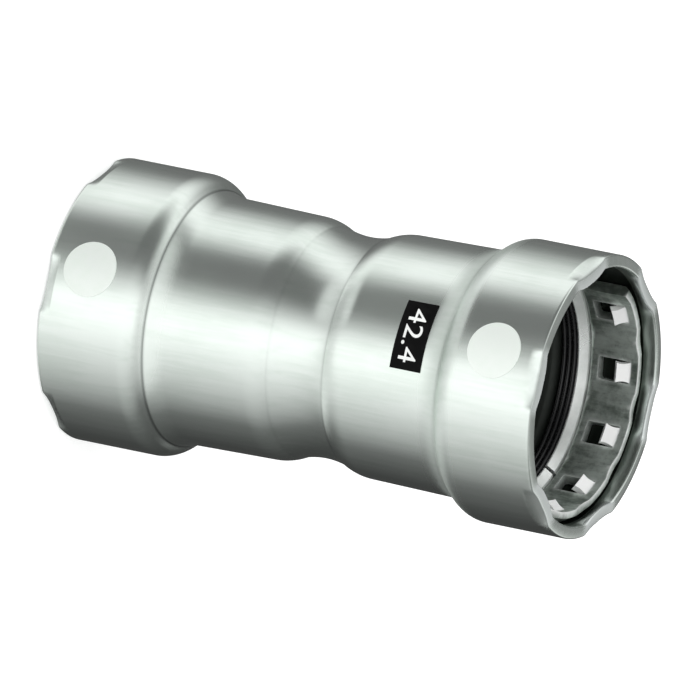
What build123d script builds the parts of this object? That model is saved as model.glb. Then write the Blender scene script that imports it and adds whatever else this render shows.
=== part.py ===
from build123d import *
from math import asin, cos, degrees, radians, sin, sqrt, tan
import os

os.makedirs("parts", exist_ok=True)

# A press coupling for steel pipe. Its axis is Z and its middle is at the origin.
# Both halves are alike, so the top half is made and mirrored. Sizes are in millimetres.
# The pipe that slides in from each end, and how far each piece stands off it before pressing.
pipe_diameter = 42.4
socket_clearance = 0.5
seal_clearance = 0.4
separator_clearance = 0.4
tooth_clearance = 0.35

# The body is one tube, drawn in at the middle and widened at both ends. The waist is hollow.
wall = 2.5
waist_depth = 2.2
waist_length = 12.2
waist_hollow = 0.9
waist_ramp = 4.85
socket_length = 21.8
socket_spread = 0.45
crease_radius = 0.6
shoulder_length = 3.8
collar_length = 17.7
rim_chamfer = 0.45

# Six crimps press the rim in, to hold the grip ring.
crimp_count = 6
crimp_depth = 1.4
crimp_height = 2.6
crimp_width = 11.0
crimp_angle = 28.5

# The grip ring is an open steel band with a row of windows and a bent tooth in each.
grip_gap = 1.9
grip_thickness = 2.3
ring_clearance = 0.15
grip_end_gap = 0.12
grip_bevel = 1.0
grip_bevel_length = 1.6
grip_end_angle = 14.4
window_count = 10
window_step_angle = 32.2
window_angle = 352.2
window_width = 4.7
window_height = 7.1
window_web = 1.6
window_corner = 0.5
tooth_width = 4.4
tooth_thickness = 1.4
tooth_angle = 35.0
scallop_depth = 0.45
back_scallop_depth = 0.2
scallop_radius = 8.0

# The separator ring is a thin washer whose inner edge leans back over the seal at 45 degrees.
separator_thickness = 0.6
separator_lip = 1.5
separator_split = 0.8
separator_angle = 46.0
separator_gap = 0.15

# The seal ring fills the bottom of the pocket and has ribs on its inner face.
seal_gap = 0.1
rib_count = 3
rib_depth = 0.5
rib_width = 0.9
rib_crest = 0.3
rib_pitch = 1.1

# Marks on the outside: a round dot on each collar and a dark label on the top socket.
mark_film = 0.12
mark_gap = 0.05
mark_angle = 259.5
dot_diameter = 11.3
dot_inset = 9.85
label_inset = 7.75
label_length = 6.7
label_width = 13.9

# Radii that follow from the pipe outwards.
pipe_radius = pipe_diameter / 2
socket_radius = pipe_radius + socket_clearance
tube_radius = socket_radius + wall
crease_outer = tube_radius + socket_spread
waist_outer = tube_radius - waist_depth
waist_bore = waist_outer - wall
ramp_foot = waist_outer + waist_hollow
ramp_bore = waist_bore + waist_hollow
grip_inner = pipe_radius + grip_gap
grip_outer = grip_inner + grip_thickness
collar_bore = grip_outer + ring_clearance
collar_radius = collar_bore + wall
ring_outer = collar_bore - ring_clearance

# Heights from the middle of the coupling up to the rim.
ramp_start = waist_length / 2
ramp_end = ramp_start + waist_ramp
crease = ramp_end + socket_length
pocket_floor = crease + wall
shoulder_end = crease + shoulder_length
rim = shoulder_end + collar_length
crimp_foot = rim - crimp_height

# The step from the socket to the pocket is eased at both of its corners.
pocket_depth = collar_bore - socket_radius
pocket_mouth = 0.5 * pocket_depth
pocket_root = 0.25 * pocket_depth

# The rings are stacked between the pocket floor and the foot of the crimps.
grip_top = crimp_foot - grip_end_gap
window_top = grip_top - window_web
window_bottom = window_top - window_height
grip_bottom = window_bottom - window_web - scallop_depth
separator_top = grip_bottom - separator_gap
seal_top = separator_top - separator_thickness - seal_gap
seal_bottom = pocket_floor + seal_gap


def spun(outline):
    return revolve(outline, Axis.Z)


def turned(shape, angle):
    return Rot(0, 0, angle) * shape


def at_turn(radius, angle, height):
    return (radius * cos(radians(angle)), radius * sin(radians(angle)), height)


def corner(section, radius, height):
    return section.vertices().sort_by_distance((radius, height, 0))[0]


# Coupling body, between the feet of its crimps
with BuildSketch(Plane.XZ) as body_section:
    with BuildLine():
        TangentArc((tube_radius, ramp_end), (ramp_foot, ramp_start), tangent=(0, -1))
        Line((tube_radius, ramp_end), (crease_outer, crease))
        TangentArc((collar_radius, shoulder_end), (crease_outer, crease), tangent=(0, -1))
        Line((collar_radius, shoulder_end), (collar_radius, crimp_foot))
        Line((collar_radius, crimp_foot), (collar_bore, crimp_foot))
        Line((collar_bore, crimp_foot), (collar_bore, pocket_floor))
        Line((collar_bore, pocket_floor), (socket_radius, pocket_floor))
        Line((socket_radius, pocket_floor), (socket_radius, ramp_end))
        TangentArc((socket_radius, ramp_end), (ramp_bore, ramp_start), tangent=(0, -1))
        mirror(about=Plane.XZ)
        ThreePointArc((ramp_foot, -ramp_start), (waist_outer, 0), (ramp_foot, ramp_start))
        ThreePointArc((ramp_bore, -ramp_start), (waist_bore, 0), (ramp_bore, ramp_start))
    make_face()
    for side in (1, -1):
        fillet(corner(body_section, crease_outer, side * crease), crease_radius)
        chamfer(corner(body_section, collar_bore, side * pocket_floor), pocket_root)
        chamfer(corner(body_section, socket_radius, side * pocket_floor), pocket_mouth)


def lobed_face(round_radius, pressed_radius, height):
    # One ring of lobes with a shallow arc pressed in between them, or a plain circle cut alike.
    half_crimp = degrees(asin(crimp_width / 2 / collar_radius))
    pitch = 360 / crimp_count
    edges = []
    for index in range(crimp_count):
        middle = crimp_angle + index * pitch
        crimp_start = at_turn(round_radius, middle - half_crimp, height)
        crimp_end = at_turn(round_radius, middle + half_crimp, height)
        lobe_middle = at_turn(round_radius, middle + pitch / 2, height)
        lobe_end = at_turn(round_radius, middle + pitch - half_crimp, height)
        edges.append(ThreePointArc(crimp_start, at_turn(pressed_radius, middle, height), crimp_end))
        edges.append(ThreePointArc(crimp_end, lobe_middle, lobe_end))
    return Face(Wire(edges))


def lobed_column(round_radius, lip):
    # From a circle at the foot of the crimps to six lobes at the rim.
    pressed = round_radius - crimp_depth
    sections = (
        lobed_face(round_radius, round_radius, crimp_foot),
        lobed_face(round_radius, pressed, rim - rim_chamfer),
        lobed_face(round_radius + lip, pressed + lip, rim),
    )
    return loft(sections, ruled=True)


rim_band = lobed_column(collar_radius, -rim_chamfer) - lobed_column(collar_bore, rim_chamfer)
coupling_body = spun(body_section.sketch) + [rim_band, mirror(rim_band, Plane.XY)]

# Grip ring
row_angle = window_step_angle * (window_count - 1)
grip_turn = row_angle + 2 * grip_end_angle
grip_start = window_angle - grip_turn / 2
with BuildSketch(Plane.XZ) as grip_section:
    with BuildLine():
        Polyline(
            (grip_inner, grip_bottom),
            (grip_outer - grip_bevel, grip_bottom),
            (grip_outer, grip_bottom + grip_bevel_length),
            (grip_outer, grip_top - grip_bevel_length),
            (grip_outer - grip_bevel, grip_top),
            (grip_inner, grip_top),
            close=True,
        )
    make_face()
grip_band = turned(revolve(grip_section.sketch, Axis.Z, revolution_arc=grip_turn), grip_start)

radial = Plane((0, 0, 0), x_dir=(0, 1, 0), z_dir=(1, 0, 0))
window = extrude(
    radial.offset(grip_inner / 2)
    * Pos(0, (window_top + window_bottom) / 2)
    * RectangleRounded(window_width, window_height, window_corner),
    grip_outer - grip_inner / 2 + grip_thickness,
)
scallop = extrude(radial.offset(grip_inner / 2) * Circle(scallop_radius), grip_outer)
scallop_rise = scallop_radius - scallop_depth
back_scallop_rise = scallop_radius - back_scallop_depth

# The tooth leans in from the top of its window, and its tip points down the socket.
slope = radians(tooth_angle)
tip_radius = pipe_radius + tooth_clearance
tip_height = window_top - (grip_inner - tip_radius) / tan(slope)
tooth_back = grip_inner + tooth_thickness / cos(slope)
tooth_root = window_top + window_web / 2
tooth = extrude(
    Plane.XZ
    * make_face(
        Polyline(
            (grip_inner, tooth_root),
            (grip_inner, window_top),
            (tip_radius, tip_height),
            (tip_radius + tooth_thickness * cos(slope), tip_height - tooth_thickness * sin(slope)),
            (tooth_back, window_top),
            (tooth_back, tooth_root),
            close=True,
        )
    ),
    tooth_width / 2,
    both=True,
)

first_window = window_angle - row_angle / 2
window_angles = [first_window + index * window_step_angle for index in range(window_count)]
web_angles = [first_window + (index - 0.5) * window_step_angle for index in range(window_count + 1)]
grip_ring = grip_band
grip_ring -= [turned(window, angle) for angle in window_angles]
grip_ring -= [turned(Pos(0, 0, grip_top + scallop_rise) * scallop, angle) for angle in web_angles]
grip_ring -= [turned(Pos(0, 0, grip_bottom - back_scallop_rise) * scallop, angle) for angle in web_angles]
grip_ring += [turned(tooth, angle) for angle in window_angles]

# Separator ring
separator_inner = pipe_radius + separator_clearance
lean_start = separator_inner + separator_lip
slant = separator_thickness / sqrt(2)
mitre = separator_thickness * tan(radians(22.5))
separator_section = make_face(
    Polyline(
        (ring_outer, separator_top),
        (lean_start, separator_top),
        (separator_inner, separator_top - separator_lip),
        (separator_inner + slant, separator_top - separator_lip - slant),
        (lean_start + mitre, separator_top - separator_thickness),
        (ring_outer, separator_top - separator_thickness),
        close=True,
    )
)
separator_ring = spun(Plane.XZ * separator_section)
separator_cut = Pos(ring_outer, 0, separator_top) * Box(ring_outer, separator_split, 4 * separator_lip)
separator_ring -= turned(separator_cut, separator_angle)

# Seal ring, ribbed on its inner face and bevelled at its top to clear the leaning lip
seal_lip = pipe_radius + seal_clearance
seal_face = seal_lip + rib_depth
lip_foot = separator_top - separator_lip - slant
bevel_rise = lip_foot - (separator_inner + slant) - sqrt(2) * seal_gap
bevel_foot = seal_face + bevel_rise
rib_middle = (seal_bottom + bevel_foot) / 2
seal_outline = [(seal_face, seal_bottom)]
for index in range(rib_count):
    rib_height = rib_middle + (index - (rib_count - 1) / 2) * rib_pitch
    seal_outline += [
        (seal_face, rib_height - rib_width / 2),
        (seal_lip, rib_height - rib_crest / 2),
        (seal_lip, rib_height + rib_crest / 2),
        (seal_face, rib_height + rib_width / 2),
    ]
seal_outline += [
    (seal_face, bevel_foot),
    (seal_top - bevel_rise, seal_top),
    (ring_outer, seal_top),
    (ring_outer, seal_bottom + pocket_root),
    (ring_outer - pocket_root, seal_bottom),
]
seal_ring = spun(Plane.XZ * make_face(Polyline(seal_outline, close=True)))

# Control dot on the collar and label on the socket
dot_height = rim - dot_inset
dot_inner = collar_radius + mark_gap
dot_shell = Cylinder(dot_inner + mark_film, 2 * dot_diameter) - Cylinder(dot_inner, 2 * dot_diameter)
dot_cutter = Pos(collar_radius, 0, 0) * Rot(0, 90, 0) * Cylinder(dot_diameter / 2, collar_radius)
control_dot = turned(Pos(0, 0, dot_height) * (dot_shell & dot_cutter), mark_angle)


def label_radius(height):
    return tube_radius + mark_gap + socket_spread * (height - ramp_end) / socket_length


label_height = crease - label_inset
label_low = label_height - label_length / 2
label_high = label_height + label_length / 2
label_arc = degrees(label_width / label_radius(label_height))
label_face = Plane.XZ * make_face(
    Polyline(
        (label_radius(label_low), label_low),
        (label_radius(label_high), label_high),
        (label_radius(label_high) + mark_film, label_high),
        (label_radius(label_low) + mark_film, label_low),
        close=True,
    )
)
size_label = turned(revolve(label_face, Axis.Z, label_arc), mark_angle - label_arc / 2)

parts = {
    "coupling_body": coupling_body,
    "grip_ring_top": grip_ring,
    "grip_ring_bottom": mirror(grip_ring, Plane.XY),
    "separator_ring_top": separator_ring,
    "separator_ring_bottom": mirror(separator_ring, Plane.XY),
    "seal_ring_top": seal_ring,
    "seal_ring_bottom": mirror(seal_ring, Plane.XY),
    "control_dot_top": control_dot,
    "control_dot_bottom": mirror(control_dot, Plane.XY),
    "size_label": size_label,
}
for name, part in parts.items():
    export_step(part, f"parts/{name}.step")
    print(name, round(part.volume, 1), part.bounding_box())
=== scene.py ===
import math
import bmesh
import bpy
from mathutils import Matrix, Vector


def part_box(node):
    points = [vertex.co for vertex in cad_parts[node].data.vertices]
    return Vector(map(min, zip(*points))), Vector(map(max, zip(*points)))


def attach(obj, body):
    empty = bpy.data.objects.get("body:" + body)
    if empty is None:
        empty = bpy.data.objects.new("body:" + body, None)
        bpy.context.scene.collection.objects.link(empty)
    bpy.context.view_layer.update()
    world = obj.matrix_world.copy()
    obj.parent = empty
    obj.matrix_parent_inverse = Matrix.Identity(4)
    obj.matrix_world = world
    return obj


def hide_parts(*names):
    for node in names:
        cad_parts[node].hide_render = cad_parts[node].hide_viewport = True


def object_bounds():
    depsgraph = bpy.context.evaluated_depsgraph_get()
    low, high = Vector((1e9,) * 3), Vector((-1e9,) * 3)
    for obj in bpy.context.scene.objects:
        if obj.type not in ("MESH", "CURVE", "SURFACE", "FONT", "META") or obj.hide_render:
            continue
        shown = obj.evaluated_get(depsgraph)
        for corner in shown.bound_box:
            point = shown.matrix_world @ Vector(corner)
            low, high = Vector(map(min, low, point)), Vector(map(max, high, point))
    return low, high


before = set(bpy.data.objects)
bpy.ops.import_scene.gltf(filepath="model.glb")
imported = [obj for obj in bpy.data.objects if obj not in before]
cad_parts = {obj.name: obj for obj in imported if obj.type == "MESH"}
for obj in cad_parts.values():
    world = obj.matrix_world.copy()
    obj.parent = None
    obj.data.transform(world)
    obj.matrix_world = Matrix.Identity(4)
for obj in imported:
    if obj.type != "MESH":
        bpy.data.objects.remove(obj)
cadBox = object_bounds()
mm = 0.001
print("frame", sorted(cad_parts))


def lowest(node, axis):
    # where a CAD node begins along an axis, in millimetres
    return round(getattr(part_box(node)[0], axis) / mm, 3)


def highest(node, axis):
    return round(getattr(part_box(node)[1], axis) / mm, 3)


class Sock:
    # the output of a node, which can be used in plain maths
    def __init__(self, tree, link):
        self.tree = tree
        self.link = link

    def maths(self, operation, *others):
        return self.tree.add("ShaderNodeMath", {"operation": operation}, [self, *others])

    def part(self, axis):
        return self.tree.add("ShaderNodeSeparateXYZ", {}, [self], out=axis)

    def __add__(self, other):
        return self.maths("ADD", other)

    def __sub__(self, other):
        return self.maths("SUBTRACT", other)

    def __mul__(self, other):
        return self.maths("MULTIPLY", other)

    def __truediv__(self, other):
        return self.maths("DIVIDE", other)

    def __rsub__(self, other):
        return self.tree.add("ShaderNodeMath", {"operation": "SUBTRACT"}, [other, self])

    def __rtruediv__(self, other):
        return self.tree.add("ShaderNodeMath", {"operation": "DIVIDE"}, [other, self])

    __radd__ = __add__
    __rmul__ = __mul__


class Tree:
    # nodes by type, settings and inputs, for materials and geometry alike
    def __init__(self, nodeTree):
        self.nodes = nodeTree.nodes
        self.links = nodeTree.links
        self.nodes.clear()

    def node(self, kind, settings=None, inputs=None):
        made = self.nodes.new(kind)
        for key, value in (settings or {}).items():
            setattr(made, key, value)
        pairs = inputs.items() if isinstance(inputs, dict) else enumerate(inputs or [])
        for key, value in pairs:
            if isinstance(value, Sock):
                self.links.new(value.link, made.inputs[key])
            elif value is not None:
                made.inputs[key].default_value = value
        return made

    def add(self, kind, settings=None, inputs=None, out=0):
        return Sock(self, self.node(kind, settings, inputs).outputs[out])

    def vector(self, x, y, z):
        return self.add("ShaderNodeCombineXYZ", {}, [x, y, z])

    def around(self, angle, radius, height):
        # a place at an angle and a distance round the fitting's axis
        return self.vector(radius * angle.maths("COSINE"), radius * angle.maths("SINE"), height)

    def between(self, value, low, high, toLow=0.0, toHigh=1.0, kind="SMOOTHSTEP"):
        settings = {"interpolation_type": kind, "clamp": True}
        return self.add("ShaderNodeMapRange", settings, {0: value, 1: low, 2: high, 3: toLow, 4: toHigh})

    def mixColour(self, factor, first, second):
        return self.add("ShaderNodeMix", {"data_type": "RGBA"}, {0: factor, 6: first, 7: second}, out=2)

    def painted(self, name):
        # a shade that the piece's own mesh carries
        return self.add("ShaderNodeAttribute", {"attribute_name": name}, out=2)

    def noise(self, where, scale, detail, roughness):
        inputs = {"Vector": where, "Scale": scale, "Detail": detail, "Roughness": roughness}
        return self.add("ShaderNodeTexNoise", {}, inputs)

    def stretched(self, where, alongAxis):
        # the place squeezed along the axis, which draws a pattern out into lines
        return self.add("ShaderNodeMapping", {}, {"Vector": where, "Scale": (1.0, 1.0, alongAxis)})

    def bump(self, strength, height):
        return self.add("ShaderNodeBump", {}, {"Strength": strength, "Distance": 0.1 * mm, "Height": height})

    def position(self):
        return self.add("GeometryNodeInputPosition")

    def named(self, name):
        return self.add("GeometryNodeInputNamedAttribute", {"data_type": "FLOAT"}, {"Name": name})

    def stored(self, shape, name, value):
        settings = {"data_type": "FLOAT", "domain": "POINT"}
        inputs = {"Geometry": shape, "Name": name, "Value": value}
        return self.add("GeometryNodeStoreNamedAttribute", settings, inputs)

    def sampled(self, shape, value, row, kind):
        settings = {"data_type": kind, "domain": "POINT"}
        inputs = {"Geometry": shape, "Value": value, "Index": row}
        return self.add("GeometryNodeSampleIndex", settings, inputs)

    def placed(self, shape, position):
        return self.add("GeometryNodeSetPosition", {}, {"Geometry": shape, "Position": position})

    def shifted(self, shape, offset):
        return self.add("GeometryNodeSetPosition", {}, {"Geometry": shape, "Offset": offset})

    def welded(self, shape, distance):
        return self.add("GeometryNodeMergeByDistance", {}, {"Geometry": shape, "Distance": distance})

    def repeated(self, points, shape):
        return self.add("GeometryNodeInstanceOnPoints", {}, {"Points": points, "Instance": shape})

    def realised(self, shape):
        return self.add("GeometryNodeRealizeInstances", {}, [shape])

    def joined(self, *shapes):
        made = self.node("GeometryNodeJoinGeometry")
        for shape in shapes:
            self.links.new(shape.link, made.inputs[0])
        return Sock(self, made.outputs[0])


def newMaterial(name):
    material = bpy.data.materials.new(name)
    material.use_nodes = True
    return material, Tree(material.node_tree)


def finishMaterial(tree, colour, metallic, rough, bump, extra=None):
    inputs = {"Base Color": colour, "Metallic": metallic, "Roughness": rough, "Normal": bump}
    shader = tree.add("ShaderNodeBsdfPrincipled", {}, {**inputs, **(extra or {})})
    tree.node("ShaderNodeOutputMaterial", {}, [shader])


# Plated steel of the body: a pale green-grey satin with faint lines, with painted shade inside the bore and
# painted dark lines in the creases
plating = {
    "light": (0.87, 0.94, 0.89, 1.0),
    "dull": (0.80, 0.88, 0.82, 1.0),
    # painted shade: the near-black that darkens the bore, the pocket and the mouth
    "paintedBoreShade": (0.02, 0.024, 0.02, 1.0),
    # painted shade: the colour of the dark lines along the kink and the shoulder's crease
    "crease": (0.30, 0.33, 0.31, 1.0),
    "rubbed": (0.78, 0.82, 0.82, 1.0),
    "cloud": (60.0, 4.0, 0.55),
    "grain": (1500.0, 2.0, 0.6),
    "lines": (700.0, 3.0, 0.6),
    "lineStretch": 0.06,
    "streaks": (0.4, 0.62),
    "roughness": 0.2,
    "cloudRoughness": 0.05,
    "lineRoughness": 0.03,
    "boreRoughness": 0.34,
    "satinRoughness": 0.28,
    "satinBand": (27.0, 31.0, 34.0, 37.5),
    "chalk": 0.6,
    "haze": 0.55,
    "hazeFade": (0.09, 0.27),
    "bump": 0.04,
}


def platedSteel():
    material, tree = newMaterial("platedSteel")
    where = tree.add("ShaderNodeTexCoord", out=3)
    cloud = tree.noise(where, *plating["cloud"])
    grain = tree.noise(where, *plating["grain"])
    lines = tree.noise(tree.stretched(where, plating["lineStretch"]), *plating["lines"])
    wearAndHighlight = tree.painted("wearAndHighlight")
    # the bore's painted shade, lifted where the crimps are rubbed
    paintedBoreShade = tree.painted("paintedBoreShade") * (1.0 - wearAndHighlight)
    streaked = tree.between(0.5 * cloud + 0.5 * lines, *plating["streaks"])
    colour = tree.mixColour(streaked, plating["light"], plating["dull"])
    # painted shade: the dark lines in the creases, then the near-black in the bore
    colour = tree.mixColour(tree.painted("crease"), colour, plating["crease"])
    colour = tree.mixColour(paintedBoreShade, colour, plating["paintedBoreShade"])
    colour = tree.mixColour(wearAndHighlight, colour, plating["rubbed"])
    rough = plating["roughness"] + plating["cloudRoughness"] * tree.between(cloud, 0.3, 0.75)
    rough = rough + plating["lineRoughness"] * lines
    rough = rough + (plating["boreRoughness"] - plating["roughness"]) * paintedBoreShade
    # the upper shoulder is duller than the rest
    start, full, fade, last = plating["satinBand"]
    height = where.part(2) / mm
    dull = tree.between(height, start, full) * tree.between(height, fade, last, 1.0, 0.0)
    rough = rough + plating["satinRoughness"] * dull
    # the hazy zone is less of a mirror where it is seen square on
    facing = tree.add("ShaderNodeLayerWeight", {}, {"Blend": 0.5}, out=1)
    satin = tree.painted("haze") * tree.between(facing, *plating["hazeFade"], 1.0, 0.0)
    metallic = 1.0 - plating["haze"] * satin - plating["chalk"] * wearAndHighlight
    bump = tree.bump(plating["bump"], 0.6 * grain + 0.4 * lines)
    finishMaterial(tree, colour, metallic, rough, bump)
    return material


# Stainless steel, darker on the grip rings than on the separators, with a painted highlight on the grip
# rings' teeth and edges
stainless = {
    "grip": {
        "colours": ((0.82, 0.90, 0.84, 1.0), (0.20, 0.24, 0.21, 1.0)),
        "roughness": 0.34,
        "metallic": 0.78,
        "bump": 0.06,
    },
    "separator": {
        "colours": ((0.94, 0.97, 0.95, 1.0), (0.80, 0.84, 0.81, 1.0)),
        "roughness": 0.26,
        "metallic": 0.6,
        "bump": 0.015,
    },
    # painted highlight: the near-white of the teeth and of the grip band's edges, window rims and heel
    "tooth": (0.99, 1.0, 0.99, 1.0),
    "toothChalk": 0.8,
    "streak": (170.0, 5.0, 0.65),
    "streakStretch": 0.2,
    "streakRoughness": 0.12,
    "cloud": (110.0, 5.0, 0.7),
    "grain": (900.0, 2.0, 0.6),
}


def stainlessSteel(name, look):
    material, tree = newMaterial(name)
    where = tree.add("ShaderNodeTexCoord", out=3)
    streak = tree.noise(tree.stretched(where, stainless["streakStretch"]), *stainless["streak"])
    cloud = tree.noise(where, *stainless["cloud"])
    grain = tree.noise(where, *stainless["grain"])
    # the painted highlight on the teeth and along the grip band's edges
    tooth = tree.painted("tooth")
    stained = tree.between(0.5 * streak + 0.5 * cloud, 0.4, 0.6)
    colour = tree.mixColour(stained, *look["colours"])
    colour = tree.mixColour(tooth, colour, stainless["tooth"])
    metallic = look["metallic"] * (1.0 - tooth * stainless["toothChalk"])
    rough = look["roughness"] + stainless["streakRoughness"] * tree.between(streak, 0.3, 0.8)
    finishMaterial(tree, colour, metallic, rough, tree.bump(look["bump"], grain))
    return material


# Black rubber of the seals, with a little bloom
rubber = {
    "colours": ((0.010, 0.010, 0.011, 1.0), (0.022, 0.023, 0.023, 1.0)),
    "bloom": (260.0, 4.0, 0.6),
    "grain": (2600.0, 2.0, 0.6),
    "roughness": 0.2,
    "bloomRoughness": 0.18,
    "bump": 0.05,
}


def sealRubber():
    material, tree = newMaterial("sealRubber")
    where = tree.add("ShaderNodeTexCoord", out=3)
    bloom = tree.noise(where, *rubber["bloom"])
    grain = tree.noise(where, *rubber["grain"])
    colour = tree.mixColour(tree.between(bloom, 0.5, 0.85), *rubber["colours"])
    rough = rubber["roughness"] + rubber["bloomRoughness"] * tree.between(bloom, 0.35, 0.8)
    finishMaterial(tree, colour, 0.0, rough, tree.bump(rubber["bump"], grain))
    return material


# Printed marks: the dots' paint, the label's black and its figures
marks = {
    "dot": {
        "colours": ((0.90, 0.96, 0.91, 1.0), (0.88, 0.95, 0.89, 1.0)),
        "roughness": 0.35,
        "metallic": 0.27,
        "gloss": 0.5,
    },
    "label": {
        "colours": ((0.003, 0.003, 0.003, 1.0), (0.006, 0.006, 0.006, 1.0)),
        "roughness": 0.5,
        "metallic": 0.0,
        "gloss": 0.08,
    },
    "figures": {
        "colours": ((0.92, 0.94, 0.92, 1.0), (0.84, 0.86, 0.84, 1.0)),
        "roughness": 0.5,
        "metallic": 0.0,
        "gloss": 0.3,
    },
    "patches": (420.0, 4.0, 0.6),
    "patchRoughness": 0.1,
    "bump": 0.06,
}


def printFilm(name, look):
    material, tree = newMaterial(name)
    where = tree.add("ShaderNodeTexCoord", out=3)
    patchy = tree.noise(where, *marks["patches"])
    colour = tree.mixColour(tree.between(patchy, 0.4, 0.7), *look["colours"])
    rough = look["roughness"] + marks["patchRoughness"] * tree.between(patchy, 0.3, 0.8)
    bump = tree.bump(marks["bump"], patchy)
    finishMaterial(tree, colour, look["metallic"], rough, bump, {"Specular IOR Level": look["gloss"]})
    return material


finishes = {
    "body": platedSteel(),
    "grip": stainlessSteel("gripSteel", stainless["grip"]),
    "separator": stainlessSteel("separatorSteel", stainless["separator"]),
    "seal": sealRubber(),
    "dot": printFilm("dotPaint", marks["dot"]),
    "label": printFilm("labelInk", marks["label"]),
    "figures": printFilm("figurePaint", marks["figures"]),
}
print("materials", len(finishes))


def newObject(name, data):
    obj = bpy.data.objects.new(name, data)
    bpy.context.collection.objects.link(obj)
    return obj


def grow(name, seed, values, plan, finish):
    # runs a Geometry Nodes plan on a seed mesh and keeps the result as a plain mesh
    group = bpy.data.node_groups.new(name, "GeometryNodeTree")
    group.interface.new_socket("Geometry", in_out="INPUT", socket_type="NodeSocketGeometry")
    group.interface.new_socket("Geometry", in_out="OUTPUT", socket_type="NodeSocketGeometry")
    kinds = {int: "NodeSocketInt", float: "NodeSocketFloat"}
    handles = {}
    for key, value in values.items():
        socket = group.interface.new_socket(key, in_out="INPUT", socket_type=kinds[type(value)])
        handles[key] = socket.identifier
    tree = Tree(group)
    entrance = tree.node("NodeGroupInput")
    given = {key: Sock(tree, entrance.outputs[key]) for key in values}
    whole = tree.realised(plan(tree, Sock(tree, entrance.outputs["Geometry"]), given))
    dressed = tree.add("GeometryNodeSetMaterial", {}, {"Geometry": whole, "Material": finish})
    tree.node("NodeGroupOutput", {}, [dressed])
    obj = newObject(name, seed)
    modifier = obj.modifiers.new("grow", "NODES")
    modifier.node_group = group
    for key, value in values.items():
        modifier[handles[key]] = value
    grown = obj.evaluated_get(bpy.context.evaluated_depsgraph_get())
    mesh = bpy.data.meshes.new_from_object(grown)
    obj.modifiers.remove(modifier)
    obj.data = mesh
    return obj


def settle(obj, sharpAngle=180.0, near=mm / 1000):
    # closes the seams, turns every face outwards and smooths all but the sharp edges
    work = bmesh.new()
    work.from_mesh(obj.data)
    bmesh.ops.remove_doubles(work, verts=work.verts, dist=near)
    bmesh.ops.dissolve_degenerate(work, edges=work.edges, dist=near / 2)
    twins = {}
    for face in work.faces:
        twins.setdefault(frozenset(face.verts), []).append(face)
    doubled = [face for group in twins.values() if len(group) > 1 for face in group]
    bmesh.ops.delete(work, geom=doubled, context="FACES_ONLY")
    loose = [edge for edge in work.edges if not edge.link_faces]
    bmesh.ops.delete(work, geom=loose, context="EDGES")
    bmesh.ops.recalc_face_normals(work, faces=work.faces)
    openEdges = sum(len(edge.link_faces) != 2 for edge in work.edges)
    volume = work.calc_volume(signed=True) / mm ** 3
    for face in work.faces:
        face.smooth = True
    work.to_mesh(obj.data)
    work.free()
    if sharpAngle < 180.0:
        obj.data.set_sharp_from_angle(angle=math.radians(sharpAngle))
    print(obj.name, "faces", len(obj.data.polygons), "open edges", openEdges, "volume", round(volume, 1))


def keep(obj, node):
    # the piece rides on the body, and takes the CAD node's place where one is given
    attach(obj, "root")
    if node:
        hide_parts(node)


# the shades each outline point carries: the bore's painted shade, the creases' painted dark lines, and the
# haze
shadeNames = ("paintedBoreShade", "crease", "haze")


def outlineMesh(name, points, shades=None):
    # a closed section, radius along x and height along z, with its shades at each point
    mesh = bpy.data.meshes.new(name)
    mesh.from_pydata([(x * mm, 0, z * mm) for x, z in points], [], [tuple(range(len(points)))])
    shades = shades or [(0.0,) * len(shadeNames)] * len(points)
    for index, shade in enumerate(shadeNames):
        kept = mesh.attributes.new(shade, "FLOAT", "POINT")
        kept.data.foreach_set("value", [group[index] for group in shades])
    return mesh


def quarter(centre, radius, fromAngle, toAngle, pieces):
    points = []
    for piece in range(pieces + 1):
        angle = math.radians(fromAngle + (toAngle - fromAngle) * piece / pieces)
        points.append((centre[0] + radius * math.cos(angle), centre[1] + radius * math.sin(angle)))
    return points


def arcFrom(fromRadius, fromHeight, toRadius, toHeight, pieces):
    # an arc that leaves the first point along the axis, listed from its other end
    across = fromRadius - toRadius
    along = fromHeight - toHeight
    radius = (across * across + along * along) / (2 * across)
    end = math.degrees(math.asin(min(1.0, along / radius)))
    return quarter((fromRadius - radius, fromHeight), radius, -end, 0, pieces)


def cornerArc(here, before, after, radius, pieces=None):
    # the arc that rounds a corner between two directions, and how far it reaches
    half = before.angle(after) / 2
    reach = radius / math.tan(half)
    centre = here + (before + after).normalized() * radius / math.sin(half)
    first = here + before * reach - centre
    turn = first.angle_signed(here + after * reach - centre)
    pieces = pieces or max(2, math.ceil(abs(turn) / math.radians(18)))
    arc = []
    for piece in range(pieces + 1):
        angle = -turn * piece / pieces
        across = first.x * math.cos(angle) - first.y * math.sin(angle)
        along = first.x * math.sin(angle) + first.y * math.cos(angle)
        arc.append((centre.x + across, centre.y + along))
    return arc, reach


def rounded(corners):
    # a closed outline through (x, z, radius) corners
    places = [Vector(corner[:2]) for corner in corners]
    points = []
    for index, here in enumerate(places):
        before = (places[index - 1] - here).normalized()
        after = (places[(index + 1) % len(places)] - here).normalized()
        points += cornerArc(here, before, after, corners[index][2])[0]
    return points


def easeCorner(points, index, radius):
    # rounds one corner of a polyline, along with the points that it swallows
    here = Vector(points[index])
    before = (Vector(points[index - 1]) - here).normalized()
    after = (Vector(points[index + 1]) - here).normalized()
    arc, reach = cornerArc(here, before, after, radius, 6)
    low = index - 1
    while low > 0 and (Vector(points[low]) - here).length < reach * 1.02:
        low -= 1
    high = index + 1
    while high < len(points) - 1 and (Vector(points[high]) - here).length < reach * 1.02:
        high += 1
    return points[: low + 1] + arc + points[high:]


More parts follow.
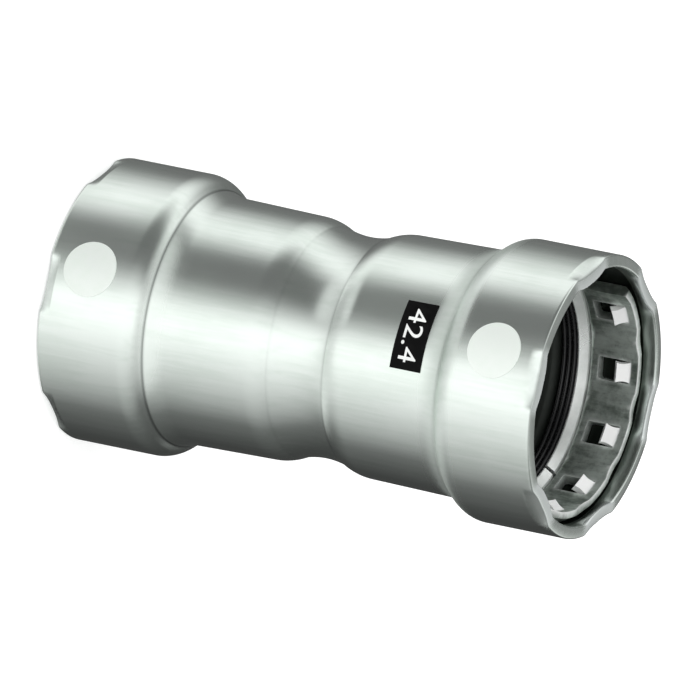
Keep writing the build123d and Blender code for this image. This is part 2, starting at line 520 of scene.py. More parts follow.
def turnedPlan(tree, seed, given):
    # revolves the seed's outline, closing the outline on itself
    points = given["points"]
    sizes = {"Size X": 1.0, "Size Y": 1.0, "Vertices X": given["steps"] + 1, "Vertices Y": points + 1}
    turned = tree.add("GeometryNodeMeshGrid", {}, sizes)
    place = tree.position()
    angle = given["start"] + (place.part(0) + 0.5) * given["sweep"]
    row = ((place.part(1) + 0.5) * points + 0.5).maths("FLOOR").maths("MODULO", points)
    spot = tree.sampled(seed, tree.position(), row, "FLOAT_VECTOR")
    for shade in shadeNames:
        turned = tree.stored(turned, shade, tree.sampled(seed, tree.named(shade), row, "FLOAT"))
    return tree.placed(turned, tree.around(angle, spot.part(0), spot.part(2)))


def fullTurn(steps, points):
    return {"steps": steps, "points": len(points), "start": 0.0, "sweep": 2 * math.pi}


def cappedPlan(tree, seed, given):
    # a part turn, closed at both ends with the outline itself
    shapes = [turnedPlan(tree, seed, given)]
    for angle in (given["start"], given["start"] + given["sweep"]):
        turn = tree.vector(0.0, 0.0, angle)
        shapes.append(tree.add("GeometryNodeTransform", {}, {"Geometry": seed, "Rotation": turn}))
    return tree.joined(*shapes)


# Body: one tube, drawn in at the middle, widened at both ends and crimped at the rims
body = {
    "wall": 2.5,
    "waistRadius": 22.0,
    "waistHollow": 0.9,
    "kink": 6.1,
    "kinkEase": 1.0,
    "rampEnd": 10.95,
    "socketRadius": 21.7,
    "tubeSpread": 0.44,
    "flareStart": 27.8,
    "flare": 0.76,
    "crease": 32.1,
    "creaseEase": 2.4,
    "shoulderSlope": 50.0,
    "shoulderEase": 5.0,
    "coneRows": (0.11, 0.22, 0.33),
    "collarRadius": highest("coupling_body", "x"),
    "collarRows": (38.0, 44.0, 50.0, 51.3),
    "rim": highest("coupling_body", "z"),
    "rimEase": 0.5,
    "rimFall": 0.2,
    "pocketFloor": lowest("seal_ring_top", "z") - 0.1,
    "pocketBevel": 1.0,
    "leadBevel": 1.75,
    "leadEase": (0.2, 0.35),
    "steps": 360,
    "crimps": {
        "count": 6,
        "angle": 28.5,
        "height": 2.6,
        "width": 11.6,
        "depth": 1.4,
        "power": 2.4,
        "outerRows": (-0.13, 0.0, 0.13, 0.26, 0.52, 0.91, 1.3, 1.69),
        "innerRows": (1.55, 0.95, 0.35, 0.0, -0.25, -0.45),
        "wearAndHighlight": 0.75,
        "wornOutside": 0.35,
        "wornIn": 0.9,
        "wornOut": 1.4,
        "skinIn": 0.7,
        "skinOut": 0.2,
    },
    # painted shade: how strong and how far the dark lines at the kink and the crease reach, and the haze, on
    # each half
    "upperShades": {"kink": 0.35, "creaseReach": 1.1, "crease": 0.25, "haze": 0.7},
    "lowerShades": {"kink": 0.1, "creaseReach": 0.32, "crease": 1.0, "haze": 1.0},
    "kinkReach": 0.3,
    "hazeIn": (26.8, 31.4),
    "hazeOut": (31.4, 33.8),
    # the strength of the painted shade in the bore and by the mouth
    "boreShade": 0.93,
    "mouthShade": 0.62,
    "mouthReach": 0.3,
    "mouthFade": (0.1, 0.6),
}
crimpFoot = body["rim"] - body["crimps"]["height"]
boreRadius = body["collarRadius"] - body["wall"]
tubeRadius = body["socketRadius"] + body["wall"]


def hollow(radius):
    # the waist's hollow, from its middle out to the ramp
    depth = body["waistHollow"]
    end = body["kink"]
    bend = (depth ** 2 + end ** 2) / (2 * depth)
    heights = [end * piece / 10 for piece in range(11)]
    return [(radius + bend - math.sqrt(bend ** 2 - z ** 2), z) for z in heights]


def tubeSurface(height):
    # a slow widening along the tube, then a flare up to the shoulder
    end = body["crease"]
    along = (height - body["rampEnd"]) / (end - body["rampEnd"])
    last = max(0.0, (height - body["flareStart"]) / (end - body["flareStart"]))
    return tubeRadius + body["tubeSpread"] * along + body["flare"] * last ** 2


def rows(start, end, count):
    # evenly spread places after the start, the end among them
    return [start + (end - start) * k / count for k in range(1, count + 1)]


def shoulder(foot):
    # up from the crease on a short cone, then on an arc into the collar
    slope = math.radians(body["shoulderSlope"])
    ease = body["shoulderEase"]
    bend = body["collarRadius"] - ease
    coneEnd = body["crease"] + (bend + ease * math.cos(slope) - foot) / math.tan(slope)
    points = [(foot + math.tan(slope) * rise, body["crease"] + rise) for rise in body["coneRows"]]
    middle = (bend, coneEnd + ease * math.sin(slope))
    return points + quarter(middle, ease, -body["shoulderSlope"], 0, 16)


def outerHalf(eased):
    points = hollow(body["waistRadius"])
    corner = len(points) - 1
    points += arcFrom(tubeRadius, body["rampEnd"], *points[-1], 12)[1:]
    points = easeCorner(points, corner, body["kinkEase"])
    heights = rows(body["rampEnd"], body["flareStart"], 8) + rows(body["flareStart"], body["crease"], 20)
    points += [(tubeSurface(z), z) for z in heights]
    corner = len(points) - 1
    points += shoulder(points[-1][0])
    if eased:
        points = easeCorner(points, corner, body["creaseEase"])
    # the collar's wall is closely divided where the crimps bend it
    heights = [*body["collarRows"]] + [crimpFoot + row for row in body["crimps"]["outerRows"]]
    points += [(body["collarRadius"], z) for z in heights]
    ease = body["rimEase"]
    edge = (body["collarRadius"] - ease, body["rim"] - body["rimFall"] - ease)
    return points + quarter(edge, ease, 0, 82, 5)


def innerHalf():
    ease = body["rimEase"]
    floor = body["pocketFloor"]
    points = quarter((boreRadius + ease, body["rim"] - ease), ease, 90, 180, 4)
    points += [(boreRadius, crimpFoot + row) for row in body["crimps"]["innerRows"]]
    points += [(boreRadius, floor + body["pocketBevel"]), (boreRadius - body["pocketBevel"], floor)]
    # the socket's lead-in
    across, along = body["leadEase"]
    foot = body["socketRadius"] + across
    points += [(foot + body["leadBevel"], floor), (foot, floor - body["leadBevel"])]
    points += [(body["socketRadius"], floor - body["leadBevel"] - along)]
    waist = hollow(body["waistRadius"] - body["wall"])
    points += arcFrom(body["socketRadius"], body["rampEnd"], *waist[-1], 6)[::-1]
    return points + waist[-2::-1]


def rampUp(value, low, high):
    share = max(0.0, min(1.0, (value - low) / (high - low)))
    return share * share * (3 - 2 * share)


def outerShades(points):
    # how much painted shade each point takes as a dark line at the kink and the crease, and how hazy it is
    shades = []
    for _, z in points:
        given = body["upperShades"] if z > 0 else body["lowerShades"]
        height = abs(z)
        kink = max(0.0, 1.0 - abs(height - body["kink"]) / body["kinkReach"]) * given["kink"]
        crease = max(0.0, 1.0 - abs(height - body["crease"]) / given["creaseReach"]) * given["crease"]
        haze = rampUp(height, *body["hazeIn"]) * (1 - rampUp(height, *body["hazeOut"]))
        shades.append((0.0, max(kink, crease), haze * given["haze"]))
    return shades


def innerShades(points):
    # how much painted shade the inside takes at each point, fading out at the rim
    near, far = body["mouthFade"]
    shades = []
    for _, z in points:
        height = abs(z)
        dark = body["boreShade"]
        if height > crimpFoot - body["mouthReach"]:
            share = (body["rim"] - height - near) / (far - near)
            dark = body["mouthShade"] * max(0.0, min(1.0, share))
        elif height > body["pocketFloor"]:
            dark = 1.0
        shades.append((dark, 0.0, 0.0))
    return shades


def bodyOutline():
    inner = innerHalf()
    outside = outerHalf(True)
    inside = inner + [(x, -z) for x, z in inner[-2::-1]]
    lower = [(x, -z) for x, z in outerHalf(False)[:0:-1]]
    shades = outerShades(outside) + innerShades(inside) + outerShades(lower)
    return outside + inside + lower, shades


def crimpedPlan(tree, seed, given):
    turned = turnedPlan(tree, seed, given)
    place = tree.position()
    across = place.part(0)
    aside = place.part(1)
    height = place.part(2).maths("ABSOLUTE")
    angle = aside.maths("ARCTAN2", across)
    pitch = 2 * math.pi / given["count"]
    cell = (angle - given["angle"]).maths("FLOORED_MODULO", pitch)
    apart = cell.maths("MINIMUM", pitch - cell) * given["radius"] / (given["width"] / 2)
    # the rubbed patches by the crimps, fainter on the outside
    radius = (across * across + aside * aside).maths("SQRT")
    outer = tree.between(radius, given["radius"] - given["skinIn"], given["radius"] - given["skinOut"])
    near = tree.between(apart, given["wornIn"], given["wornOut"], 1.0, 0.0)
    near = near * tree.between(height, given["foot"], given["rim"])
    wearAndHighlight = near * given["wearAndHighlight"] * (1.0 - (1.0 - given["wornOutside"]) * outer)
    # the crimps themselves
    pressed = (1.0 - apart.maths("POWER", given["power"])).maths("MAXIMUM", 0.0)
    along = tree.between(height, given["foot"], given["rim"], 0.0, 1.0, "LINEAR")
    push = tree.around(angle, pressed * along * given["depth"] * -1.0, 0.0)
    return tree.shifted(tree.stored(turned, "wearAndHighlight", wearAndHighlight), push)


def makeBody():
    points, shades = bodyOutline()
    crimps = body["crimps"]
    values = {
        **fullTurn(body["steps"], points),
        "count": float(crimps["count"]),
        "angle": math.radians(crimps["angle"]),
        "radius": body["collarRadius"] * mm,
        "foot": crimpFoot * mm,
        "rim": body["rim"] * mm,
    }
    for key in ("width", "depth", "skinIn", "skinOut"):
        values[key] = crimps[key] * mm
    for key in ("power", "wearAndHighlight", "wornOutside", "wornIn", "wornOut"):
        values[key] = crimps[key]
    outline = outlineMesh("bodyOutline", points, shades)
    obj = grow("couplingBody", outline, values, crimpedPlan, finishes["body"])
    settle(obj)
    keep(obj, "coupling_body")


makeBody()

# All rings reach as far out as the seal does
ringRadius = highest("seal_ring_top", "x")

# Separator rings: a thin split washer whose inner edge leans back over the seal
separator = {
    "outer": ringRadius,
    "inner": 21.6,
    "top": highest("separator_ring_top", "z"),
    "thickness": 0.6,
    "lip": 1.5,
    "edge": 0.12,
    "ease": 0.2,
    "nose": 0.28,
    "split": 0.8,
    "angle": 46.0,
    "steps": 300,
}


def separatorOutline(side):
    thickness = separator["thickness"]
    outer = separator["outer"]
    inner = separator["inner"]
    top = separator["top"]
    lip = separator["lip"]
    slant = thickness / math.sqrt(2)
    mitre = thickness * math.tan(math.radians(22.5))
    corners = [
        (outer, top, separator["edge"]),
        (inner + lip, top, separator["ease"]),
        (inner, top - lip, separator["nose"]),
        (inner + slant, top - lip - slant, separator["nose"]),
        (inner + lip + mitre, top - thickness, separator["ease"]),
        (outer, top - thickness, separator["edge"]),
    ]
    return [(x, z * side) for x, z in rounded(corners)]


def makeSeparator(name, node, side):
    points = separatorOutline(side)
    gap = math.asin(separator["split"] / 2 / separator["inner"])
    values = {
        "steps": separator["steps"],
        "points": len(points),
        "start": math.radians(separator["angle"]) + gap,
        "sweep": 2 * math.pi - 2 * gap,
    }
    obj = grow(name, outlineMesh(name + "Outline", points), values, cappedPlan, finishes["separator"])
    settle(obj, 50.0)
    keep(obj, node)


makeSeparator("separatorRingTop", "separator_ring_top", 1)
makeSeparator("separatorRingBottom", "separator_ring_bottom", -1)

# Seal rings: black rubber with three rounded ribs on the inner face, bevelled at the top
seal = {
    "outer": ringRadius,
    "face": 22.1,
    "crest": 21.6,
    "bottom": lowest("seal_ring_top", "z"),
    "top": highest("seal_ring_top", "z"),
    "bevel": 1.29,
    "edge": 0.1,
    "foot": 1.0,
    "ribPitch": 1.1,
    "ribWidth": 0.95,
    "ribFullness": 0.7,
    "steps": 300,
}


def sealOutline(side):
    outer = seal["outer"]
    face = seal["face"]
    bottom = seal["bottom"]
    top = seal["top"]
    bevelFoot = top - seal["bevel"]
    points = [(face, bottom)]
    for rib in (-1, 0, 1):
        for piece in range(9):
            share = piece / 8
            lift = math.sin(math.pi * share) ** seal["ribFullness"]
            height = (bottom + bevelFoot) / 2 + rib * seal["ribPitch"] + (share - 0.5) * seal["ribWidth"]
            points.append((face - (face - seal["crest"]) * lift, height))
    points += [(face, bevelFoot), (face + seal["bevel"], top)]
    points += [(outer - seal["edge"], top), (outer, top - seal["edge"])]
    points += [(outer, bottom + seal["foot"]), (outer - seal["foot"], bottom)]
    return [(x, z * side) for x, z in points]


def makeSeal(name, node, side):
    points = sealOutline(side)
    values = fullTurn(seal["steps"], points)
    obj = grow(name, outlineMesh(name + "Outline", points), values, turnedPlan, finishes["seal"])
    settle(obj, 60.0)
    keep(obj, node)


makeSeal("sealRingTop", "seal_ring_top", 1)
makeSeal("sealRingBottom", "seal_ring_bottom", -1)

# Grip rings: an open band with a row of windows, a bent tooth in each and scalloped edges
grip = {
    "outer": ringRadius,
    "thickness": 2.3,
    "low": lowest("grip_ring_top", "z"),
    "high": highest("grip_ring_top", "z"),
    "bevel": 1.0,
    "bevelLength": 1.6,
    "heel": 0.7,
    "endAngle": 14.4,
    "edge": 0.13,
    "scallops": {"high": 0.45, "low": 0.2, "radius": 8.0},
    "windows": 10,
    "step": 32.2,
    "angle": 352.2,
    "windowWidth": 4.7,
    "windowInset": {"high": 1.6, "low": 2.05},
    "windowCorner": 0.5,
    "sides": (14, 10, 14, 10),
    "rings": 6,
    # painted highlight along the band's outer edges, on the window rims and along the heel
    "edgeHighlight": 0.8,
    "windowHighlight": 0.4,
    "heelHighlight": 0.7,
    "toothRows": (9, 3, 17),
    "tooth": {
        "width": 4.4,
        "waist": 0.3,
        "thickness": 1.4,
        "slope": 38.0,
        "bend": 0.6,
        "length": 2.85,
        "root": 0.9,
        "sink": 0.04,
    },
}
gripMiddle = grip["outer"] - grip["thickness"] / 2
windowLow = grip["low"] + grip["windowInset"]["low"]
windowHigh = grip["high"] - grip["windowInset"]["high"]
windowMiddle = (windowLow + windowHigh) / 2


def blend(first, second, share):
    return tuple(a + (b - a) * share for a, b in zip(first, second))


def scallopDip(fromCorner, depth):
    # how far the band's edge dips in between two windows
    radius = grip["scallops"]["radius"]
    return max(0.0, math.sqrt(max(0.0, radius ** 2 - fromCorner ** 2)) - (radius - depth))


def windowLoop():
    # the window's outline, from the middle of one rounded corner all the way round
    tall = (windowHigh - windowLow) / 2
    wide = grip["windowWidth"] / 2
    ease = grip["windowCorner"]
    arcs = []
    for index, (right, up) in enumerate(((1, 1), (-1, 1), (-1, -1), (1, -1))):
        centre = (right * (wide - ease), up * (tall - ease))
        arcs.append(quarter(centre, ease, 90 * index, 90 * index + 90, 4))
    loop = []
    for index, count in enumerate(grip["sides"]):
        arc = arcs[index]
        following = arcs[(index + 1) % 4]
        straight = [blend(arc[-1], following[0], k / (count - 4)) for k in range(1, count - 4)]
        loop += arc[2:] + straight + following[:2]
    return loop


def cellLoop():
    # the cell's own outline, matching the window's point for point
    half = math.radians(grip["step"] / 2) * gripMiddle
    corners = ((half, 1), (-half, 1), (-half, -1), (half, -1))
    loop = []
    for index, count in enumerate(grip["sides"]):
        for k in range(count):
            across, level = blend(corners[index], corners[(index + 1) % 4], k / count)
            fromCorner = half - abs(across)
            if level > 0:
                edge = grip["high"] - scallopDip(fromCorner, grip["scallops"]["high"])
            else:
                edge = grip["low"] + scallopDip(fromCorner, grip["scallops"]["low"])
            loop.append((across, (edge - windowMiddle) * abs(level), abs(level) == 1))
    return loop


def gripCell():
    # one window's share of the band laid flat, arc along x and height along z
    near = windowLoop()
    far = cellLoop()
    count = len(near)
    rings = grip["rings"]
    vertices = []
    for ring in range(rings + 1):
        spots = [blend(inner, outer[:2], ring / rings) for inner, outer in zip(near, far)]
        vertices += [(x * mm, 0.0, (z + windowMiddle) * mm) for x, z in spots]
    faces = []
    for ring in range(rings):
        for k in range(count):
            here = ring * count + k
            ahead = ring * count + (k + 1) % count
            faces.append((here, ahead, ahead + count, here + count))
    mesh = bpy.data.meshes.new("gripCell")
    mesh.from_pydata(vertices, [], faces)
    # painted highlight on the window rims and along the cell's outer edges
    paintedEdges = [grip["edgeHighlight"] * onEdge for _, _, onEdge in far]
    wearAndHighlight = mesh.attributes.new("tooth", "FLOAT", "POINT")
    wearAndHighlight.data.foreach_set("value", [grip["windowHighlight"]] * count + [0.0] * count * (rings - 1) + paintedEdges)
    return mesh


def toothStrip(tree, given):
    # a tooth as a bar that leaves the band's web straight, bends, and leans in to its tip
    long = given["toothLength"] + given["toothRoot"]
    sizes = {"Size": tree.vector(given["toothWidth"], given["toothThickness"], long)}
    for axis, count in zip("XYZ", grip["toothRows"]):
        sizes["Vertices " + axis] = count
    bar = tree.add("GeometryNodeMeshCube", {}, sizes)
    place = tree.position()
    run = long / 2 - place.part(2)
    past = (run - given["toothRoot"]).maths("MAXIMUM", 0.0)
    bent = past.maths("MINIMUM", given["toothBend"] * given["toothSlope"])
    angle = bent / given["toothBend"]
    rest = past - bent
    straight = run.maths("MINIMUM", given["toothRoot"])
    sine = angle.maths("SINE")
    cosine = angle.maths("COSINE")
    depth = given["toothThickness"] / 2 + place.part(1) + given["toothSink"]
    inward = given["toothBend"] * (1.0 - cosine) + rest * sine
    down = straight + given["toothBend"] * sine + rest * cosine
    height = given["windowHigh"] + given["toothRoot"] - down - depth * sine
    middle = (past / given["toothLength"] - 0.5) * 2.0
    hollowed = (1.0 - middle * middle).maths("MAXIMUM", 0.0) * given["toothWaist"]
    narrow = 1.0 - hollowed / (given["toothWidth"] / 2)
    strip = tree.placed(bar, tree.vector(place.part(0) * narrow, depth * cosine - inward, height))
    # the teeth take the full painted highlight
    return tree.stored(strip, "tooth", 1.0)


def flatBand(tree, cells, given, reach):
    # the row of cells as one plate, stretched at both ends, given its thickness and its bevels
    seam = 0.01 * mm
    plate = tree.welded(tree.realised(cells), seam)
    place = tree.position()
    side = place.part(0).maths("SIGN")
    atEnd = place.part(0).maths("ABSOLUTE").maths("GREATER_THAN", reach - seam)
    plate = tree.shifted(plate, tree.vector(side * atEnd * given["end"], 0.0, 0.0))
    inputs = {"Mesh": plate, "Offset": (0, 1, 0), "Offset Scale": given["thickness"], "Individual": False}
    raised = tree.add("GeometryNodeExtrudeMesh", {"mode": "FACES"}, inputs)
    band = tree.welded(tree.joined(raised, plate), 0.002 * mm)
    place = tree.position()
    fromLow = place.part(2) - given["low"]
    fromEdge = fromLow.maths("MINIMUM", given["high"] - place.part(2))
    outside = place.part(1).maths("GREATER_THAN", given["thickness"] / 2)
    thin = tree.between(fromEdge, 0.0, given["bevelLength"], given["bevel"], 0.0, "LINEAR") * outside
    heel = tree.between(fromLow, 0.0, given["heel"], 1.0, 0.0, "LINEAR") * (1.0 - outside)
    # painted highlight on the inner face: the rims' highlight carried over, and a strip along the heel
    wearAndHighlight = (tree.named("tooth") * (1.0 - outside)).maths("MAXIMUM", heel * given["heelHighlight"])
    band = tree.stored(band, "tooth", wearAndHighlight)
    return tree.shifted(band, tree.vector(0.0, heel * given["heel"] - thin, 0.0))


def gripPlan(tree, seed, given):
    width = given["step"] * given["mid"]
    start = width * ((given["windows"] - 1.0) / -2.0)
    inputs = {
        "Count": given["windows"],
        "Start Location": tree.vector(start, 0.0, 0.0),
        "Offset": tree.vector(width, 0.0, 0.0),
    }
    line = tree.add("GeometryNodeMeshLine", {"mode": "OFFSET"}, inputs)
    band = flatBand(tree, tree.repeated(line, seed), given, width * given["windows"] / 2)
    teeth = tree.repeated(line, toothStrip(tree, given))
    flat = tree.realised(tree.joined(band, teeth))
    # rolled up into the ring
    place = tree.position()
    angle = given["angle"] + place.part(0) / given["mid"]
    radius = given["inner"] + place.part(1)
    return tree.placed(flat, tree.around(angle, radius, place.part(2) * given["side"]))


def makeGrip(name, node, side):
    values = {
        "windows": grip["windows"],
        "step": math.radians(grip["step"]),
        "angle": math.radians(grip["angle"]),
        "mid": gripMiddle * mm,
        "inner": (grip["outer"] - grip["thickness"]) * mm,
        "heelHighlight": grip["heelHighlight"],
        "end": math.radians(grip["endAngle"] - grip["step"] / 2) * gripMiddle * mm,
        "windowHigh": windowHigh * mm,
        "side": float(side),
    }
    for key in ("thickness", "low", "high", "bevel", "bevelLength", "heel"):
        values[key] = grip[key] * mm
    for key, size in grip["tooth"].items():
        values["tooth" + key.capitalize()] = math.radians(size) if key == "slope" else size * mm
    obj = grow(name, gripCell(), values, gripPlan, finishes["grip"])
    settle(obj, 40.0)
    edges = obj.modifiers.new("edges", "BEVEL")
    edges.width = grip["edge"] * mm
    edges.segments = 2
    edges.limit_method = "ANGLE"
    edges.angle_limit = math.radians(45)
    keep(obj, node)


makeGrip("gripRingTop", "grip_ring_top", 1)
makeGrip("gripRingBottom", "grip_ring_bottom", -1)

# Control dots: a round film of pale paint on each collar
dot = {
    "radius": 5.6,
    "film": 0.13,
    "edge": 0.1,
    "lift": 0.02,
    "angle": 259.5,
    "shift": -0.5,
    "rows": (0.0, 1.2, 2.4, 3.6, 4.6, 5.3),
    "steps": 72,
}


def dotPlan(tree, seed, given):
    # a disc laid round the collar
    disc = turnedPlan(tree, seed, given)
    place = tree.position()
    radius = given["collar"] + place.part(2)
    angle = given["markAngle"] + place.part(0) / given["collar"]
    return tree.placed(disc, tree.around(angle, radius, given["height"] + place.part(1)))


def makeDot(name, node):
    top = dot["film"]
    points = [(x, top) for x in dot["rows"]]
    points += quarter((dot["radius"] - dot["edge"], top - dot["edge"]), dot["edge"], 90, 0, 4)
    points += [(dot["radius"], 0.0)] + [(x, 0.0) for x in dot["rows"][::-1]]
    middle = (lowest(node, "z") + highest(node, "z")) / 2
    values = {
        **fullTurn(dot["steps"], points),
        "collar": (body["collarRadius"] + dot["lift"]) * mm,
        "markAngle": math.radians(dot["angle"]),
        "height": (middle + dot["shift"]) * mm,
    }
    obj = grow(name, outlineMesh(name + "Outline", points), values, dotPlan, finishes["dot"])
    settle(obj, 60.0)
    keep(obj, node)


makeDot("controlDotTop", "control_dot_top")
makeDot("controlDotBottom", "control_dot_bottom")

# Label: a black patch on the upper socket with the pipe size in plain figures
labelEnds = (lowest("size_label", "z"), highest("size_label", "z"))
label = {
    "length": labelEnds[1] - labelEnds[0],
    "middle": (labelEnds[0] + labelEnds[1]) / 2 - 0.5,
    "width": 13.9,
    "film": 0.12,
    "lift": 0.03,
    "angle": 258.7,
    "columns": 36,
    "rows": 10,
    "figures": "42.4",
    "figureHeight": 3.9,
    "figureSpan": 10.9,
    "figureRaise": 0.02,
    "figureSink": 0.02,
    "cutPitch": 0.41,
}


def wrapOnSocket(mesh):
    # x runs round the socket, y along it and z away from it
    for vertex in mesh.vertices:
        around, along, away = vertex.co / mm
        height = label["middle"] + along
        radius = tubeSurface(height) + label["lift"] + away
        angle = math.radians(label["angle"]) + around / tubeSurface(label["middle"])
        vertex.co = (radius * math.cos(angle) * mm, radius * math.sin(angle) * mm, height * mm)


def cutAcross(work, direction, places):
    # cuts the mesh square to a direction, so that it can bend
    for place in places:
        spot = [share * place * mm for share in direction]
        everything = work.verts[:] + work.edges[:] + work.faces[:]
        bmesh.ops.bisect_plane(work, geom=everything, plane_co=spot, plane_no=direction)


def finishMark(name, work, finish, node, sharpAngle, near=mm / 1000):
    mesh = bpy.data.meshes.new(name)
    work.to_mesh(mesh)
    work.free()
    wrapOnSocket(mesh)
    mesh.materials.append(finish)
    obj = newObject(name, mesh)
    settle(obj, sharpAngle, near)
    keep(obj, node)


def makeLabel():
    width = label["width"]
    length = label["length"]
    thickness = label["film"] * mm
    patch = bmesh.new()
    bmesh.ops.create_cube(patch, size=1.0)
    bmesh.ops.scale(patch, vec=(width * mm, length * mm, thickness), verts=patch.verts)
    bmesh.ops.translate(patch, vec=(0, 0, thickness / 2), verts=patch.verts)
    cutAcross(patch, (1, 0, 0), rows(-width / 2, width / 2, label["columns"])[:-1])
    cutAcross(patch, (0, 1, 0), rows(-length / 2, length / 2, label["rows"])[:-1])
    finishMark("sizeLabel", patch, finishes["label"], "size_label", 60.0)


def makeFigures():
    text = bpy.data.curves.new("figures", "FONT")
    text.body = label["figures"]
    text.align_x = "CENTER"
    text.align_y = "CENTER"
    text.extrude = 0.5
    text.resolution_u = 6
    holder = newObject("figures", text)
    shape = holder.evaluated_get(bpy.context.evaluated_depsgraph_get())
    mesh = bpy.data.meshes.new_from_object(shape)
    bpy.data.objects.remove(holder)
    low = Vector([min(vertex.co[k] for vertex in mesh.vertices) for k in range(3)])
    high = Vector([max(vertex.co[k] for vertex in mesh.vertices) for k in range(3)])
    size = high - low
    # the figures stand a hair over the label and are let into it as far
    base = (label["film"] - label["figureSink"]) * mm
    tall = (label["figureSink"] + label["figureRaise"]) * mm
    for vertex in mesh.vertices:
        share = [(vertex.co[k] - low[k]) / size[k] for k in range(3)]
        across = (share[0] - 0.5) * label["figureSpan"] * mm
        along = (share[1] - 0.5) * label["figureHeight"] * mm
        vertex.co = (across, along, base + share[2] * tall)
    work = bmesh.new()
    work.from_mesh(mesh)
    bpy.data.meshes.remove(mesh)
    reach = int(label["figureSpan"] / 2 / label["cutPitch"])
    cutAcross(work, (1, 0, 0), [label["cutPitch"] * cut for cut in range(-reach, reach + 1)])
    finishMark("sizeFigures", work, finishes["figures"], None, 30.0, mm / 10000)


makeLabel()
makeFigures()

# Camera: a long lens, rolled so that the standing fitting lies across the picture
shot = {
    "elevation": 25.88,
    "roll": 101.37,
    "lens": 1200.0,
    "frameWidth": 136.3,
    "shiftRight": 0.166,
    "shiftUp": -0.434,
}


def addCamera():
    data = bpy.data.cameras.new("camera")
    camera = newObject("camera", data)
    tilt = math.radians(shot["elevation"])
    roll = math.radians(shot["roll"])
    back = Vector((0, -math.cos(tilt), math.sin(tilt)))
    level = Vector((1, 0, 0))
    upward = Vector((0, math.sin(tilt), math.cos(tilt)))
    right = math.cos(roll) * level + math.sin(roll) * upward
    up = math.cos(roll) * upward - math.sin(roll) * level
    distance = shot["frameWidth"] * mm * shot["lens"] / data.sensor_width
    place = back * distance + (right * shot["shiftRight"] + up * shot["shiftUp"]) * mm
    data.lens = shot["lens"]
    data.clip_start = 0.1
    data.clip_end = 50.0
    turn = Matrix((right, up, back)).transposed().to_4x4()
    camera.matrix_world = Matrix.Translation(place) @ turn
    bpy.context.scene.camera = camera
    print("camera", round(distance, 3), "m away")


addCamera()

# Studio: a pale floor, a white surround, a soft lamp, and a tent of lit panels that only the gloss sees
studio = {
    "floorSize": 6.0,
    "floorColour": 0.9,
    "floorGlow": 0.34,
    "surround": 1.0,
    "lampPower": 3.0,
    "lampSize": 0.9,
    "lampPlace": (-0.5, -0.9, 1.3),
}
# The tent's panels, as angles round the object and above the floor, and how bright each is
tent = {
    "radius": 2.0,
    "turn": 240.0,
    "front": 0.16,
    "back": 0.05,
    "frontIn": (-170.0, -120.0),
    "frontOut": (110.0, 180.0),
    "key": {"rise": (-8.0, 34.0), "fall": (44.0, 129.0), "level": 1.03},
    "side": {"rise": (-110.0, -60.0), "fall": (-58.0, -26.0), "level": 0.88},
    "lean": {"heights": (-24.0, 6.0), "angle": 10.0},
    "gap": {"rise": (-75.0, -45.0), "fall": (0.0, 25.0)},
    "lift": {"heights": (-38.0, -29.0), "level": 0.72},
    "table": {"heights": (-64.0, -44.0), "level": 0.85, "dip": 0.35},
    "ceiling": {"heights": (38.0, 68.0), "level": 0.34, "share": 0.45},
    "rear": {
        "angle": -150.0,
        "heights": (2.0, 20.0),
        "spread": (20.0, 46.0),
        "change": (-26.0, -2.0),
        "levels": (0.8, 0.26),
    },
}


def stand(name, mesh, glossy, seen):
    obj = newObject(name, mesh)
    obj.visible_glossy = glossy
    for ray in ("camera", "diffuse", "transmission", "shadow"):
        setattr(obj, "visible_" + ray, seen)


def addFloor():
    size = studio["floorSize"] / 2
    height = cadBox[0].z - 0.02 * mm
    corners = [(-size, -size, height), (size, -size, height), (size, size, height), (-size, size, height)]
    mesh = bpy.data.meshes.new("floor")
    mesh.from_pydata(corners, [], [(0, 1, 2, 3)])
    material, tree = newMaterial("floorPaint")
    level = studio["floorColour"]
    diffuse = tree.add("ShaderNodeBsdfDiffuse", {}, {"Color": (level, level, level, 1.0)})
    seen = tree.add("ShaderNodeLightPath")
    glow = tree.add("ShaderNodeEmission", {}, {"Strength": seen * studio["floorGlow"]})
    tree.node("ShaderNodeOutputMaterial", {}, [tree.add("ShaderNodeAddShader", {}, [diffuse, glow])])
    mesh.materials.append(material)
    stand("floor", mesh, False, True)


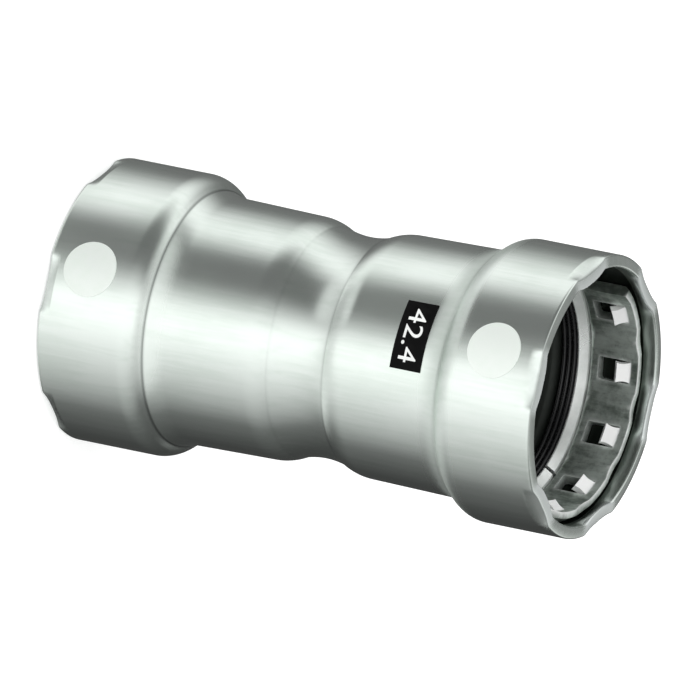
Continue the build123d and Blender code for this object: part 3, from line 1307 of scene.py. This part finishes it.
def tentLevel(tree, angle, rise):
    # how bright the tent is at each angle round the object and above the floor
    key, side, lean, gap = tent["key"], tent["side"], tent["lean"], tent["gap"]
    level = tree.between(angle, *tent["frontIn"], tent["back"], tent["front"])
    level = level - tree.between(angle, *tent["frontOut"], 0.0, tent["front"] - tent["back"])
    lit = tree.between(angle, *key["rise"]) * tree.between(angle, *key["fall"], 1.0, 0.0, "LINEAR")
    level = level + lit * key["level"]
    leaning = angle + tree.between(rise, *lean["heights"], 0.0, lean["angle"], "LINEAR")
    lit = tree.between(leaning, *side["rise"]) * tree.between(leaning, *side["fall"], 1.0, 0.0)
    level = level + lit * side["level"]
    # low down, the gap between the two panels is filled, and the table takes over
    inGap = tree.between(angle, *gap["rise"]) * tree.between(angle, *gap["fall"], 1.0, 0.0)
    low = tree.between(rise, *tent["lift"]["heights"], 1.0, 0.0)
    level = level.maths("MAXIMUM", low * inGap * tent["lift"]["level"])
    table = tent["table"]
    low = tree.between(rise, *table["heights"], 1.0, 0.0)
    level = level + (table["level"] - inGap * table["dip"] - level) * low
    # high up, the panels fade into the ceiling
    ceiling = tent["ceiling"]
    fading = ceiling["level"] - (1.0 - ceiling["share"]) * level
    level = level + fading * tree.between(rise, *ceiling["heights"])
    # a last light stands behind
    rear = tent["rear"]
    around = (angle - rear["angle"] + 180.0).maths("FLOORED_MODULO", 360.0) - 180.0
    lit = tree.between(around.maths("ABSOLUTE"), *rear["spread"], 1.0, 0.0)
    lit = lit * tree.between(rise, *rear["heights"])
    return level.maths("MAXIMUM", lit * tree.between(around, *rear["change"], *rear["levels"]))


def addTent():
    work = bmesh.new()
    bmesh.ops.create_uvsphere(work, u_segments=64, v_segments=32, radius=tent["radius"])
    mesh = bpy.data.meshes.new("tent")
    work.to_mesh(mesh)
    work.free()
    material, tree = newMaterial("tentPanels")
    where = tree.add("ShaderNodeTexCoord", out=3)
    turn = (0.0, 0.0, -math.radians(tent["turn"]))
    turned = tree.add("ShaderNodeMapping", {}, {"Vector": where, "Rotation": turn})
    degrees = 180 / math.pi
    angle = turned.part(1).maths("ARCTAN2", turned.part(0)) * degrees
    rise = (turned.part(2) / tent["radius"]).maths("ARCSINE") * degrees
    glow = tree.add("ShaderNodeEmission", {}, {"Strength": tentLevel(tree, angle, rise)})
    tree.node("ShaderNodeOutputMaterial", {}, [glow])
    mesh.materials.append(material)
    stand("tent", mesh, True, False)


def addSurround():
    world = bpy.data.worlds.new("surround")
    world.use_nodes = True
    bpy.context.scene.world = world
    tree = Tree(world.node_tree)
    white = {"Color": (1.0, 1.0, 1.0, 1.0), "Strength": studio["surround"]}
    tree.node("ShaderNodeOutputWorld", {}, [tree.add("ShaderNodeBackground", {}, white)])


def addLamp():
    data = bpy.data.lights.new("softLamp", "AREA")
    data.shape = "DISK"
    data.size = studio["lampSize"]
    data.energy = studio["lampPower"]
    obj = newObject("softLamp", data)
    obj.location = studio["lampPlace"]
    obj.rotation_euler = Vector(studio["lampPlace"]).to_track_quat("Z", "Y").to_euler()
    obj.visible_glossy = False


addFloor()
addTent()
addSurround()
addLamp()
bpy.context.scene.view_settings.view_transform = "Standard"
print("studio")
